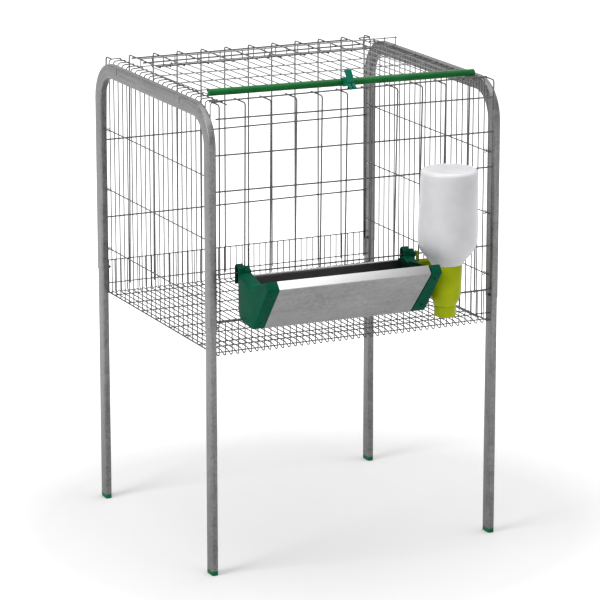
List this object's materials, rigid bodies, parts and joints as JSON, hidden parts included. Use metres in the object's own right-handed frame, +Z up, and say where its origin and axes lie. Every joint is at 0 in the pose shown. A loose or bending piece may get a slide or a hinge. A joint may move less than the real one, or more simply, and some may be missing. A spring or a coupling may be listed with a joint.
{
  "type": "poultry fattening cage",
  "caption": "Wire poultry fattening cage on four tall tube legs, with a rear-hinged roof lid, a hanging feed trough and a bottle drinker.",
  "frame": {"origin": "on the floor under the middle of the whole outline, trough included", "axes": "+Z up, +X to the right along the front, -Y towards the front with the trough"},
  "size_m": [0.58, 0.6522, 0.8969],
  "materials": {
    "bottle_plastic": "milky translucent plastic",
    "bracket_plastic": "dark green moulded plastic",
    "clip_plastic": "blue-green moulded plastic",
    "drinker_plastic": "yellow-green moulded plastic",
    "foot_plastic": "dark green moulded plastic",
    "galvanised_sheet": "bright galvanised sheet",
    "galvanised_tube": "dull galvanised, faintly brushed",
    "galvanised_wire": "dull galvanised wire",
    "rail_plastic": "green plastic tube"
  },
  "bodies": {
    "cage": {"drinker_base": "drinker_plastic", "drinker_bottle": "bottle_plastic", "floor_mesh": "galvanised_wire", "foot_cap_front_left": "foot_plastic", "foot_cap_front_right": "foot_plastic", "foot_cap_rear_left": "foot_plastic", "foot_cap_rear_right": "foot_plastic", "frame_left": "galvanised_tube", "frame_right": "galvanised_tube", "front_mesh": "galvanised_wire", "front_top_wire": "galvanised_wire", "leg_front_left": "galvanised_tube", "leg_front_right": "galvanised_tube", "leg_rear_left": "galvanised_tube", "leg_rear_right": "galvanised_tube", "lid_hinge_rings": "galvanised_wire", "rear_mesh": "galvanised_wire", "side_mesh_left": "galvanised_wire", "side_mesh_right": "galvanised_wire", "trough_end_left": "bracket_plastic", "trough_end_right": "bracket_plastic", "trough_sheet": "galvanised_sheet"},
    "lid": {"lid_mesh": "galvanised_wire", "lid_rail": "rail_plastic"},
    "clip": {"latch_clip": "clip_plastic"}
  },
  "joints": [
    {"name": "lid_hinge", "type": "hinge", "parent": "cage", "child": "lid", "pos_m": [0, 0.168, 0.86845], "axis": [-1, 0, 0], "range_deg": [0, 105]},
    {"name": "latch_pivot", "type": "hinge", "parent": "lid", "child": "clip", "pos_m": [0, -0.142, 0.86995], "axis": [-1, 0, 0], "range_deg": [0, 80]}
  ]
}
